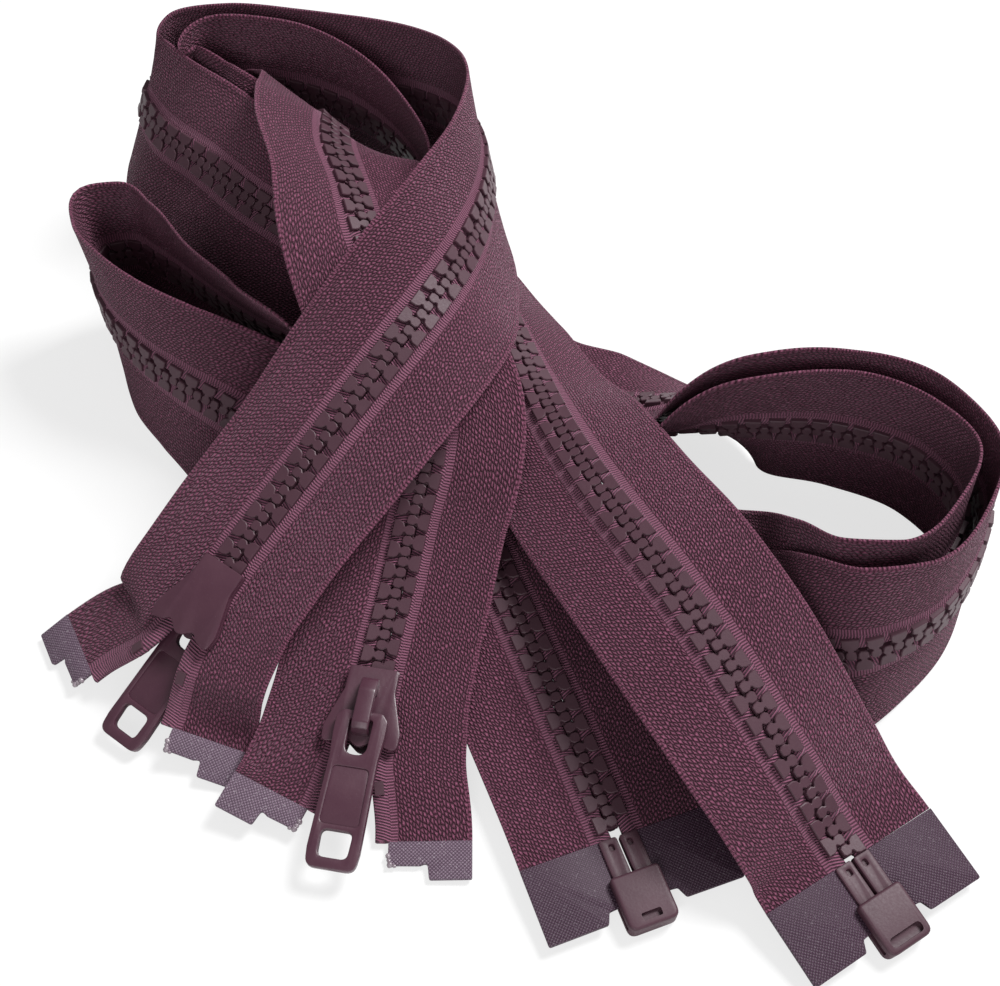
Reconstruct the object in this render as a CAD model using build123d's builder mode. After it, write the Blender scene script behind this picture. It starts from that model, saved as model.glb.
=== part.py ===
"""Two separating zippers with moulded teeth, wound together as they are sold.

Both are the same product. Each is a closed chain between two woven tapes, with a slider at its
top end and a box with two pins at its bottom end. Lengths are in millimetres, +Z is up, and the
pair lies on Z = 0. Every route starts at a slider and ends at a box.
"""
from build123d import *
from math import cos, radians, sin
import os

os.makedirs("parts", exist_ok=True)

# ---------------------------------------------------------------- driving dimensions
# Chain of moulded teeth
chain_width = 5.8
chain_thickness = 2.4
tooth_pitch = 3.75
tooth_body = 2.4             # length of a tooth along the chain, at the tape
tooth_neck = 1.1             # the same at its neck
tooth_head = 1.7             # the same at its head
tooth_tip = 1.0              # the same at its tip
tooth_reach = 0.7            # how far a tip passes the middle of the chain
loose_tooth = 1.9            # a tooth in the wound part of the chain, at the tape
loose_tip = 0.8              # the same at its tip
loose_reach = 0.35
loose_inset = 0.2            # the same teeth keep this much further from the tape
chain_start = 2.0            # first tooth, from the middle of the slider

# Woven tapes and their stiff film ends
tape_width = 13.2
tape_thickness = 0.6
tape_gap = 0.15              # between the tape's cord edge and the teeth
film_thickness = 0.8
bottom_film = 12.5
top_film = 6.2
top_film_step = 2.4          # the cord half of a top film is this much shorter
film_notch = 1.6
film_bite = 0.5              # of the bottom film, cut out before the box
film_gap = 0.3               # between a bottom film and the end of its tape

# Slider
slider_length = 14.0
slider_closed_width = 8.2
slider_mouth_width = 12.6
slider_plate = 0.9
slider_wall = 0.85
slider_gap = 0.12            # round the teeth
slider_slot = 1.3            # gap that the tapes run in
slider_scallop = 1.5
post_width = 2.0
post_length = 3.4
bridge_width = 2.8
bridge_length = 9.4
bridge_bar = 1.1

# Pull tab
pull_length = 24.7
pull_width = 8.4
pull_thickness = 1.5
pull_gap = 0.14              # round the pull's bar
pull_arm_gap = 0.35          # between an arm and the bridge
pull_eye = 6.4
pull_window_length = 4.3
pull_window_width = 5.1
pull_window_margin = 1.7
pull_pivot = 2.6             # from the middle of the slider towards its mouth

# Box end
box_length = 8.8
box_width = 8.2
box_thickness = 3.5
box_corner = 1.3
box_overhang = 2.5           # beyond the end of the tapes
pin_width = 2.3
pin_thickness = 1.7
pin_middle = 1.55            # from the middle of the chain
pin_depth = 5.4              # how far a pin reaches into the box
pin_gap = 0.06
box_window_length = 1.3
box_window_width = 3.4
box_seam = 0.06              # between the box and the film beside it

# Top stops
stop_length = 2.2
stop_width = 1.5
stop_thickness = 1.8
stop_place = 12.0            # from the middle of the slider

# Loose tape beyond the slider
tail_start = 2.4             # where it meets the chain's tape, from the middle of the slider
tail_spread = 1.6            # how far apart the mouth spreads each tape
slider_tilt = 2              # of the tapes in the slider, in degrees

# Where the pile lies: the origin is under the middle of it, on the surface it lies on
pile_shift = (-1.79, 1.63, 0.24)

# ---------------------------------------------------------------- routes
# One row per rounded point: x, y, z, then the tilt of both tapes in degrees about the route,
# or of the left and the right tape apart. A tilt is positive where the left edge is higher.
route_1 = [
    (-48.6, -34.6, 15, 2), (-42.4, -26.4, 19.4, 4), (-34.6, -17.6, 25, 6),
    (-28.6, -11.4, 30, 9), (-22.4, -3.9, 34, 15), (-16.8, 2.9, 37.5, 22),
    (-11.3, 11.4, 39.5, 32), (-6.3, 22.7, 40, 50), (-3.1, 37, 39, 68), (-3.4, 53.4, 37, 82),
    (-8.7, 67.7, 34, 90), (-23.3, 79, 31, 93), (-39.2, 84.9, 29, 94), (-54.2, 89, 28, 94),
    (-66.2, 88.3, 28, 85), (-72.3, 81.6, 28, 70), (-68.7, 72, 27.5, 56),
    (-58.6, 62.4, 26.5, 48), (-48.9, 52.8, 25.5, 42), (-38.6, 45.4, 23.5, 34),
    (-27, 38, 20, 14, 22), (-14.5, 28.5, 16.5, 2, 10), (-2, 20, 14.6, -6, 2),
    (9.5, 14.5, 12.2, -10, -5), (20, 12, 11.2, -10), (31, 10.5, 13.6, -34),
    (46, 6.5, 18, -78), (62.8, 4.8, 17.5, -88), (76.2, -1.4, 17, -88),
    (82.5, -14.2, 17, -88), (77.6, -29.7, 16.8, -86), (68.9, -39.9, 16.5, -82),
    (58.9, -44.3, 15.8, -69), (49.1, -43.4, 13.6, -48), (38.4, -38.3, 9.8, -25),
    (24.2, -28, 5.8, -10), (7.1, -16.6, 4.8, 0), (-10.9, -6.5, 4.8, 0), (-28, 2, 4.8, -2, 0),
    (-38.3, 3.7, 7, -18, -8), (-48, 7.4, 13.4, -52, -50), (-58.7, 13.8, 15.6, -68),
    (-67.3, 20.9, 16.4, -78), (-73.7, 29.3, 16.7, -88), (-77.4, 38.8, 16.7, -96),
    (-77.4, 46.1, 16.7, -98), (-72.9, 48, 16.6, -95), (-65, 43.6, 16.6, -88),
    (-54.6, 34.8, 17, -78), (-43.6, 25, 18.5, -70), (-32.5, 16.7, 20.2, -60),
    (-23, 8, 13.4, -22, -28), (-13.5, -0.5, 9, -4), (-5.7, -10.8, 8.4, 0),
    (0.9, -27.3, 8.4, 0, 3), (7.5, -43.7, 6.8, 0, 7), (14.4, -60.4, 4, 0, 3),
    (18.1, -70.2, 3.05, 0), (22.6, -82.2, 1.9, 0)]
route_2 = [
    (-21.5, -50.3, 6.5, 2, -2), (-19.9, -41.3, 8.4, 3, -3), (-17.2, -29.4, 11.5, 5, -5),
    (-14.7, -18.4, 16.4, 6, -6), (-12.2, -10, 22.5, 3, 0), (-11.8, -2, 27.4, 0, 6),
    (-14, 6, 32.4, 0, 16), (-18.3, 14, 37.2, -3, 22), (-23, 22.5, 42.2, 18, 26),
    (-26.5, 34, 44, 36, 24), (-30.3, 47, 43.3, 36, 20), (-31.2, 53.5, 41.5, 35, 34),
    (-32.4, 61.7, 36.4, 42, 56), (-36.8, 73.2, 27, 62, 76), (-44.5, 78.6, 20.5, 84),
    (-50, 78, 17.5, 86), (-52.3, 74.3, 16.2, 74), (-49.5, 69, 11, 56, 46),
    (-42, 62, 5.2, 16, 18), (-31.5, 52.5, 2, 0), (-22, 36, 1.6, 0), (-13.5, 17, 1.6, 0),
    (-4, 0, 1.6, 0), (7.2, -11.6, 1.6, 0), (24.7, -20.5, 3.2, 8), (38.5, -29.6, 8.2, 30),
    (48.3, -35.6, 13, 54), (56.6, -38.4, 15.8, 72), (64.9, -36, 16.5, 83),
    (73.9, -27.3, 16.7, 86), (78.7, -14.7, 16.7, 88), (73.2, -4.9, 16.7, 88),
    (60.7, 1, 16.7, 88), (44.8, 2.6, 16.5, 76), (30, 6.8, 11, 32), (19, 10.5, 7.8, 6),
    (6, 17.6, 9.2, 4, 10), (-6.8, 26.5, 11.6, -2, 4), (-20.5, 37.5, 15, -12, -8),
    (-33.5, 48.5, 19.2, -30, 0), (-45, 57.6, 23, -41, -18), (-54.4, 66, 25.3, -49),
    (-62, 73, 26.5, -58), (-64.2, 81, 27, -73), (-57.2, 84.8, 28.5, -88),
    (-44.4, 82.9, 29, -92), (-30.6, 77.6, 28, -88), (-19.4, 69, 25.5, -80),
    (-11.8, 57, 22.5, -62, -80), (-9, 50, 21.3, -52, -70), (-6, 43, 20.8, -46, -52),
    (0, 27, 22, -40, -36), (4.8, 12.9, 21, -28, -8), (9.7, -2.2, 22.5, -6, 22),
    (16.6, -18, 24, 0, 30), (25.5, -34.3, 24.5, 9, 20), (33.4, -47.5, 22.5, 9, 12),
    (39.7, -56.8, 18, 4), (46.1, -65.3, 12, 0), (51.4, -71.4, 5.4, 0), (53.5, -74.7, 4.6, 0),
    (60.2, -85.4, 1.9, 0)]

# The loose tape beyond each slider: the cord edge from the tape's end to the slider.
tail_1_left = [(-73.2, -43.9, 0.9, 0), (-66.2, -40.2, 5, 4)]
tail_1_right = [(-55.1, -57.9, 3.8, 0), (-52.9, -50.8, 4.8, 14)]
tail_2_left = [(-33.4, -71, 1.8, 6), (-29.6, -63.6, 2.9, 9)]
tail_2_right = [(-17.6, -76.6, 0.7, 0), (-17.6, -68, 1.2, -2)]

# Where each route is cut into stretches of tape, along the chain from the slider
cuts_1 = [0.6, 46.0, 200.0, 330.0, 470.0, 620.0]
cuts_2 = [0.6, 31.0, 165.0, 300.0, 440.0, 590.0]
stretches = ["top", "upper", "coil", "loop", "lower", "bottom"]
longest_step = 12.0          # between a tape's sections
shortest_step = 2.6
section_turn = 9             # degrees


# ---------------------------------------------------------------- a zipper's route in space
class Route:
    """A smooth path through rounded points, with the directions of the chain and both tapes."""

    def __init__(self, points, shift=pile_shift):
        places = [Vector(*point[:3]) + Vector(*shift) for point in points]
        steps = [(b - a).length for a, b in zip(places, places[1:])]
        travel = [self.slope(places, i).normalized() for i in range(len(places))]
        left = [self.tilted(t, point[3]) for t, point in zip(travel, points)]
        right = [self.tilted(t, point[-1]) for t, point in zip(travel, points)]
        rates = [self.rate(places, steps, i) for i in range(len(places))]
        left_rates = [self.rate(left, steps, i) for i in range(len(places))]
        right_rates = [self.rate(right, steps, i) for i in range(len(places))]
        self.samples = []
        for i, step in enumerate(steps):
            for k in range(16):
                t = k / 16
                self.samples.append((self.blend(places, rates, step, i, t),
                                     self.blend(left, left_rates, step, i, t),
                                     self.blend(right, right_rates, step, i, t)))
        self.samples.append((places[-1], left[-1], right[-1]))
        self.runs = [0.0]
        for a, b in zip(self.samples, self.samples[1:]):
            self.runs.append(self.runs[-1] + (b[0] - a[0]).length)
        self.length = self.runs[-1]

    @staticmethod
    def slope(places, i):
        return places[min(i + 1, len(places) - 1)] - places[max(i - 1, 0)]

    @staticmethod
    def tilted(travel, tilt):
        level = Vector(0, 0, 1).cross(travel).normalized()
        return level * cos(radians(tilt)) + travel.cross(level) * sin(radians(tilt))

    @staticmethod
    def rate(values, steps, i):
        if i == 0:
            return (values[1] - values[0]) * (1 / steps[0])
        if i == len(values) - 1:
            return (values[i] - values[i - 1]) * (1 / steps[-1])
        before, after = steps[i - 1], steps[i]
        low = (values[i] - values[i - 1]) * (after / before)
        high = (values[i + 1] - values[i]) * (before / after)
        return (low + high) * (1 / (before + after))

    @staticmethod
    def blend(values, rates, step, i, t):
        a = 2 * t**3 - 3 * t**2 + 1
        b = t**3 - 2 * t**2 + t
        c = 3 * t**2 - 2 * t**3
        d = t**3 - t**2
        return values[i] * a + rates[i] * (b * step) + values[i + 1] * c + rates[i + 1] * (d * step)

    def at(self, run):
        """Return the point, the travel, and the chain's, left tape's and right tape's widths."""
        run = min(max(run, 0.0), self.length)
        i = max(k for k in range(len(self.runs) - 1) if self.runs[k] <= run)
        t = (run - self.runs[i]) / (self.runs[i + 1] - self.runs[i])
        point, left, right = [a * (1 - t) + b * t for a, b in zip(self.samples[i],
                                                                  self.samples[i + 1])]
        first, last = max(i - 1, 0), min(i + 2, len(self.samples) - 1)
        near = (self.samples[i + 1][0] - self.samples[first][0]).normalized()
        far = (self.samples[last][0] - self.samples[i][0]).normalized()
        travel = (near * (1 - t) + far * t).normalized()
        left = (left - travel * left.dot(travel)).normalized()
        right = (right - travel * right.dot(travel)).normalized()
        return point, travel, (left + right).normalized(), left, right

    def plane(self, run, flip=False):
        """A plane in the chain with X along it and Z out of its upper face, or its lower one."""
        point, travel, across, _, _ = self.at(run)
        normal = travel.cross(across)
        return Plane(origin=point, x_dir=travel, z_dir=normal * (-1 if flip else 1))

    def tape_plane(self, run, side, inner):
        """A plane across the tape: X runs outwards from its cord edge, Z along the tape."""
        point, travel, across, left, right = self.at(run)
        outwards = left if side > 0 else right * -1
        return Plane(origin=point + across * (side * inner), x_dir=outwards, z_dir=travel)

    def turn(self, run, step):
        a, b = self.at(run), self.at(run + step)
        return max(a[1].get_angle(b[1]), a[3].get_angle(b[3]), a[4].get_angle(b[4]))

    def stations(self, start, end):
        """Places for a tape's sections, closer together where the tape bends or twists."""
        runs = [start]
        while end - runs[-1] > shortest_step * 1.6:
            step = longest_step
            while step > shortest_step and self.turn(runs[-1], step) > section_turn:
                step *= 0.8
            runs.append(min(runs[-1] + step, end - shortest_step * 0.8))
        return runs + [end]


def save(part, name):
    part.label = name
    export_step(part, f"parts/{name}.step")


def save_at(seat, piece, name):
    """Put a piece that was drawn about the origin on its seat plane and save it."""
    with BuildPart() as placed:
        with Locations(seat.location):
            add(piece)
    save(placed.part, name)


tape_edge = chain_width / 2 + tape_gap


def build_tape(route, side, start, end, name):
    """One stretch of woven tape, from its cord edge to its selvedge."""
    with BuildPart() as tape:
        for run in route.stations(start, end):
            with BuildSketch(route.tape_plane(run, side, tape_edge)):
                with Locations((tape_width / 2, 0)):
                    Rectangle(tape_width, tape_thickness)
        loft(ruled=True)
    save(tape.part, name)


# ---------------------------------------------------------------- teeth
def build_tooth(body, neck, head, tip, reach):
    """A tooth of the left row. Its outer end is at the tape and its tip past the middle."""
    outer = chain_width / 2
    shoulder = outer - 1.7
    with BuildPart() as tooth:
        with BuildSketch(Plane.XY.offset(-chain_thickness / 2)):
            with BuildLine():
                Polyline((-body / 2, outer), (-body / 2, shoulder), (-neck / 2, shoulder - 0.35),
                         (-head / 2, 0.1), (-tip / 2, -reach), (tip / 2, -reach),
                         (head / 2, 0.1), (neck / 2, shoulder - 0.35), (body / 2, shoulder),
                         (body / 2, outer), close=True)
            make_face()
        extrude(amount=chain_thickness)
    return tooth.part


def build_loose_tooth():
    """The plainer tooth of the wound part of the chain, where the rows bend."""
    outer = chain_width / 2 - loose_inset
    with BuildPart() as tooth:
        with BuildSketch(Plane.XY.offset(-chain_thickness / 2)):
            with BuildLine():
                Polyline((-loose_tooth / 2, outer), (-loose_tip / 2, -loose_reach),
                         (loose_tip / 2, -loose_reach), (loose_tooth / 2, outer), close=True)
            make_face()
        extrude(amount=chain_thickness)
    return tooth.part


fine_tooth = build_tooth(tooth_body, tooth_neck, tooth_head, tooth_tip, tooth_reach)
plain_tooth = build_loose_tooth()


def build_row(route, side, start, end, fine, name):
    """The moulded teeth of one row between two places. The right row is half a pitch on."""
    turn = Rotation(0, 0, 0 if side > 0 else 180)
    offset = chain_start + (0 if side > 0 else tooth_pitch / 2)
    places = []
    while offset < end:
        if offset >= start:
            places.append((offset, any(a <= offset <= b for a, b in fine)))
        offset += tooth_pitch
    with BuildPart() as row:
        with Locations(*[route.plane(run).location * turn for run, is_fine in places if is_fine]):
            add(fine_tooth)
        plain = [route.plane(run).location * turn for run, is_fine in places if not is_fine]
        if plain:
            with Locations(*plain):
                add(plain_tooth)
    save(row.part, name)


# ---------------------------------------------------------------- slider
cavity = chain_thickness / 2 + slider_gap
slider_top = cavity + slider_plate
pivot_height = slider_top + pull_gap + pull_thickness / 2
bridge_under = pivot_height + pull_thickness / 2 + pull_gap
bridge_top = bridge_under + bridge_bar


def build_slider(route, flip, name):
    """The slider's body: two shield-shaped plates, their side walls and the dividing post."""
    closed = slider_closed_width / 2
    mouth = slider_mouth_width / 2
    half = slider_length / 2
    with BuildPart() as slider:
        for level in (cavity, -slider_top):
            with BuildSketch(Plane.XY.offset(level)):
                with BuildLine():
                    Polyline((half, -closed), (half, closed), (half - 4, closed),
                             (-half + 3, mouth), (-half, mouth - 0.6),
                             (-half + slider_scallop, mouth / 2), (-half, 0),
                             (-half + slider_scallop, -mouth / 2), (-half, 0.6 - mouth),
                             (-half + 3, -mouth), (half - 4, -closed), close=True)
                make_face()
            extrude(amount=slider_plate)
        for level in (slider_slot / 2, -cavity):
            with BuildSketch(Plane.XY.offset(level)):
                for side in (1, -1):
                    with BuildLine():
                        Polyline((half, side * closed), (half - 4, side * closed),
                                 (-half + 3, side * mouth), (-half + 1.2, side * (mouth - 0.3)),
                                 (-half + 1.6, side * (mouth - slider_wall - 0.3)),
                                 (half - 4, side * (closed - slider_wall)),
                                 (half, side * (closed - slider_wall)), close=True)
                    make_face()
            extrude(amount=cavity - slider_slot / 2)
        with BuildSketch(Plane.XY.offset(-cavity)):
            with Locations((-half + slider_scallop + post_length / 2, 0)):
                Ellipse(post_length / 2, post_width / 2)
        extrude(amount=2 * cavity)
    save_at(route.plane(0, flip), slider.part, f"{name}_slider_body")

    with BuildPart() as bridge:
        with BuildSketch(Plane.XZ.offset(-bridge_width / 2)):
            with BuildLine():
                reach = bridge_length / 2
                Polyline((-reach, slider_top), (-reach, bridge_under + 0.2),
                         (-reach + 1.4, bridge_top), (reach - 1.8, bridge_top),
                         (reach, slider_top + 1.4), (reach, slider_top),
                         (reach - 2.6, slider_top), (reach - 2.8, bridge_under - 0.5),
                         (reach - 3.4, bridge_under), (-reach + 1.2, bridge_under),
                         (-reach + 0.9, slider_top), close=True)
            make_face()
        extrude(amount=bridge_width)
    save_at(route.plane(0, flip), bridge.part, f"{name}_slider_bridge")

    # The pull lies along the slider with its eye round the bridge and its window over the tails.
    with BuildPart() as pull:
        low = pivot_height - pull_thickness / 2
        near = -pull_pivot + pull_thickness / 2
        far = near - pull_length
        with BuildSketch(Plane.XY.offset(low)):
            with BuildLine():
                Polyline((near - 0.75, -pull_width / 2 + 0.9), (near - 0.75, pull_width / 2 - 0.9),
                         (near - 2.4, pull_width / 2), (far + 2.4, pull_width / 2),
                         (far + 0.7, pull_width / 2 - 0.7), (far, pull_width / 2 - 2.4),
                         (far, 2.4 - pull_width / 2), (far + 0.7, 0.7 - pull_width / 2),
                         (far + 2.4, -pull_width / 2), (near - 2.4, -pull_width / 2), close=True)
            make_face()
            eye_width = bridge_width + 2 * pull_arm_gap
            with Locations((near - pull_eye / 2, 0)):
                Rectangle(pull_eye, eye_width, mode=Mode.SUBTRACT)
            with Locations((far + pull_window_margin + pull_window_length / 2, 0)):
                Rectangle(pull_window_length, pull_window_width, mode=Mode.SUBTRACT)
        extrude(amount=pull_thickness)
        with Locations(Location((-pull_pivot, 0, pivot_height), (90, 0, 0))):
            Cylinder(pull_thickness / 2, pull_width - 1.8)
    save_at(route.plane(0, flip), pull.part, f"{name}_pull_tab")


# ---------------------------------------------------------------- box end
def build_box(route, name):
    """The box at the bottom of the right tape, with its own pin and the left tape's pin."""
    end = route.length
    with BuildPart() as box:
        middle = box_overhang - box_length / 2
        with Locations((middle, 0, 0)):
            Box(box_length, box_width, box_thickness)
        fillet(box.edges().filter_by(Axis.Z), box_corner)
        fillet(box.faces().sort_by(Axis.Z)[-1].edges(), 0.4)
        fillet(box.faces().sort_by(Axis.Z)[0].edges(), 0.4)
        for side in (1, -1):
            depth = pin_depth + pin_gap
            mouth = box_overhang - box_length + depth / 2
            with Locations((mouth, side * pin_middle, 0)):
                Box(depth, pin_width + 2 * pin_gap, pin_thickness + 2 * pin_gap,
                    mode=Mode.SUBTRACT)
        with Locations((box_overhang - 1.7, 0, box_thickness / 2)):
            Box(box_window_length, box_window_width, 1.2, mode=Mode.SUBTRACT)
    save_at(route.plane(end), box.part, f"{name}_box")

    for side, label in ((-1, "box_pin"), (1, "insertion_pin")):
        with BuildPart() as pin:
            tip = box_overhang - box_length + pin_depth
            head = -bottom_film
            with BuildSketch(Plane.XY.offset(-pin_thickness / 2)):
                with BuildLine():
                    low, high = side * (pin_middle - pin_width / 2), side * (pin_middle + pin_width / 2)
                    Polyline((head, low), (head, high), (tip - 0.8, high), (tip, high - side * 0.6),
                             (tip, low + side * 0.6), (tip - 0.8, low), close=True)
                make_face()
                with Locations((head + 1.7, side * pin_middle)):
                    Rectangle(1.1, 0.8, mode=Mode.SUBTRACT)
            extrude(amount=pin_thickness)
        save_at(route.plane(end), pin.part, f"{name}_{label}")

    for side, label in ((1, "left"), (-1, "right")):
        with BuildPart() as film:
            with Locations((-(bottom_film - film_gap) / 2, side * (tape_edge + tape_width / 2), 0)):
                Box(bottom_film - film_gap, tape_width, film_thickness)
            with Locations((box_overhang - box_length / 2, 0, 0)):
                Box(box_length + 2 * film_bite, box_width + 2 * box_seam, film_thickness,
                    mode=Mode.SUBTRACT)
        save_at(route.plane(end), film.part, f"{name}_bottom_film_{label}")


# ---------------------------------------------------------------- tails
def build_tail(route, points, side, name):
    """The loose tape beyond the slider, the film on its end and the stop on its cord edge."""
    root, _, across, left, right = route.at(0)
    joint = root + across * (side * tape_edge)
    before = route.at(0)[1]
    points = [tuple(Vector(*point[:3]) + Vector(*pile_shift)) + point[3:] for point in points]
    for back, apart in ((slider_length / 2 + 2.5, tail_spread), (slider_length / 2 - 1, tail_spread / 2),
                        (tail_start, 0)):
        spot = joint - before * back + across * (side * apart)
        points.append((spot.X, spot.Y, spot.Z, slider_tilt))
    tail = Route(points, (0, 0, 0))
    film_end = top_film
    with BuildPart() as tape:
        for run in tail.stations(film_end, tail.length - 0.3):
            with BuildSketch(tail.tape_plane(run, side, 0)):
                with Locations((tape_width / 2, 0)):
                    Rectangle(tape_width, tape_thickness)
        loft(ruled=True)
    save(tape.part, f"{name}_tail")

    with BuildPart() as film:
        with BuildSketch(Plane.XY.offset(-film_thickness / 2)):
            with BuildLine():
                Polyline((0, 0), (0, side * tape_width), (-top_film, side * tape_width),
                         (-top_film, side * tape_width * 0.52),
                         (-top_film + top_film_step + film_notch, side * tape_width * 0.5),
                         (-top_film + top_film_step + film_notch, side * tape_width * 0.4),
                         (-top_film + top_film_step, side * tape_width * 0.36),
                         (-top_film + top_film_step, 0), close=True)
            make_face()
        extrude(amount=film_thickness)
    save_at(tail.plane(film_end), film.part, f"{name}_tail_film")

    with BuildPart() as stop:
        with Locations((0, -side * (stop_width / 2 + tape_gap), 0)):
            Box(stop_length, stop_width, stop_thickness)
    save_at(tail.plane(tail.length - stop_place + tail_start), stop.part, f"{name}_top_stop")


# ---------------------------------------------------------------- the two zippers
zippers = [
    ("zipper_1", Route(route_1), True, cuts_1, ((0, 75), (735, 900)), tail_1_left, tail_1_right),
    ("zipper_2", Route(route_2), False, cuts_2, ((0, 75), (640, 900)), tail_2_left, tail_2_right)]

for zipper, route, flip, cuts, fine, tail_left, tail_right in zippers:
    tape_end = route.length - bottom_film
    for side, label in ((1, "left"), (-1, "right")):
        for stretch, start, end in zip(stretches, cuts, cuts[1:] + [tape_end]):
            build_tape(route, side, start, end, f"{zipper}_tape_{label}_{stretch}")
        build_row(route, side, 0, cuts[1], fine, f"{zipper}_teeth_{label}_top")
        build_row(route, side, cuts[1], tape_end - 1, fine, f"{zipper}_teeth_{label}")
    build_slider(route, flip, zipper)
    build_box(route, zipper)
    build_tail(route, tail_left, 1, f"{zipper}_left")
    build_tail(route, tail_right, -1, f"{zipper}_right")
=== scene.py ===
"""Two separating zippers wound together: woven tapes, moulded teeth, sliders and box ends."""
from math import cos, pi, radians, sin, tan

import bmesh
import bpy
import numpy as np
from mathutils import Matrix, Vector


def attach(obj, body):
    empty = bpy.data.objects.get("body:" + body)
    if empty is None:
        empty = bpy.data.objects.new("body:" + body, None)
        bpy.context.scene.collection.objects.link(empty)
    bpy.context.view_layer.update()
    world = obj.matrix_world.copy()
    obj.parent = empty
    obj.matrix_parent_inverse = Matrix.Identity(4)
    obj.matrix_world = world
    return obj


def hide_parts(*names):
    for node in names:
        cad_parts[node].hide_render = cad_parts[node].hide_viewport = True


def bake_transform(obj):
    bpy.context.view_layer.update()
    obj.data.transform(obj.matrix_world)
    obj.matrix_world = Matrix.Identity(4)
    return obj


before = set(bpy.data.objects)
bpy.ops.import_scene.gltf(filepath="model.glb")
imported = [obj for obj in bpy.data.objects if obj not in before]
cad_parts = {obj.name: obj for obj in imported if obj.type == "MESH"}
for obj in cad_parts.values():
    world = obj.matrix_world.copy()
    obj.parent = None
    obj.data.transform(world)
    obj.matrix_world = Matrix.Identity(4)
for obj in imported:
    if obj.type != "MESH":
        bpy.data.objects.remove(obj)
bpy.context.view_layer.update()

# ---------------------------------------------------------------- sizes, in metres
MM = 0.001
TAPE_EDGE = 3.05 * MM
TAPE_WIDTH = 13.2 * MM
TOOTH_PITCH = 3.75 * MM
CHAIN_START = 2.0 * MM
TOP_FILM = 6.2 * MM
BOTTOM_FILM = 12.5 * MM
FILM_THICKNESS = 0.8 * MM
PEBBLE_WIDTH = 0.56 * MM
PEBBLE_LENGTH = 0.8 * MM
WEAVE_STEP = 0.9 * MM
PILE_SHIFT = np.array([-1.79, 1.63, 0.24]) * MM

# Each route starts at its slider and ends at its box: x, y, z and the tapes' tilt in degrees,
# or the left tape's and the right tape's tilt. Places are in millimetres.
ROUTE_1 = [
    (-48.6, -34.6, 15, 2), (-42.4, -26.4, 19.4, 4), (-34.6, -17.6, 25, 6),
    (-28.6, -11.4, 30, 9), (-22.4, -3.9, 34, 15), (-16.8, 2.9, 37.5, 22),
    (-11.3, 11.4, 39.5, 32), (-6.3, 22.7, 40, 50), (-3.1, 37, 39, 68), (-3.4, 53.4, 37, 82),
    (-8.7, 67.7, 34, 90), (-23.3, 79, 31, 93), (-39.2, 84.9, 29, 94), (-54.2, 89, 28, 94),
    (-66.2, 88.3, 28, 85), (-72.3, 81.6, 28, 70), (-68.7, 72, 27.5, 56),
    (-58.6, 62.4, 26.5, 48), (-48.9, 52.8, 25.5, 42), (-38.6, 45.4, 23.5, 34),
    (-27, 38, 20, 14, 22), (-14.5, 28.5, 16.5, 2, 10), (-2, 20, 14.6, -6, 2),
    (9.5, 14.5, 12.2, -10, -5), (20, 12, 11.2, -10), (31, 10.5, 13.6, -34),
    (46, 6.5, 18, -78), (62.8, 4.8, 17.5, -88), (76.2, -1.4, 17, -88),
    (82.5, -14.2, 17, -88), (77.6, -29.7, 16.8, -86), (68.9, -39.9, 16.5, -82),
    (58.9, -44.3, 15.8, -69), (49.1, -43.4, 13.6, -48), (38.4, -38.3, 9.8, -25),
    (24.2, -28, 5.8, -10), (7.1, -16.6, 4.8, 0), (-10.9, -6.5, 4.8, 0), (-28, 2, 4.8, -2, 0),
    (-38.3, 3.7, 7, -18, -8), (-48, 7.4, 13.4, -52, -50), (-58.7, 13.8, 15.6, -68),
    (-67.3, 20.9, 16.4, -78), (-73.7, 29.3, 16.7, -88), (-77.4, 38.8, 16.7, -96),
    (-77.4, 46.1, 16.7, -98), (-72.9, 48, 16.6, -95), (-65, 43.6, 16.6, -88),
    (-54.6, 34.8, 17, -78), (-43.6, 25, 18.5, -70), (-32.5, 16.7, 20.2, -60),
    (-23, 8, 13.4, -22, -28), (-13.5, -0.5, 9, -4), (-5.7, -10.8, 8.4, 0),
    (0.9, -27.3, 8.4, 0, 3), (7.5, -43.7, 6.8, 0, 7), (14.4, -60.4, 4, 0, 3),
    (18.1, -70.2, 3.05, 0), (22.6, -82.2, 1.9, 0)]
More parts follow.
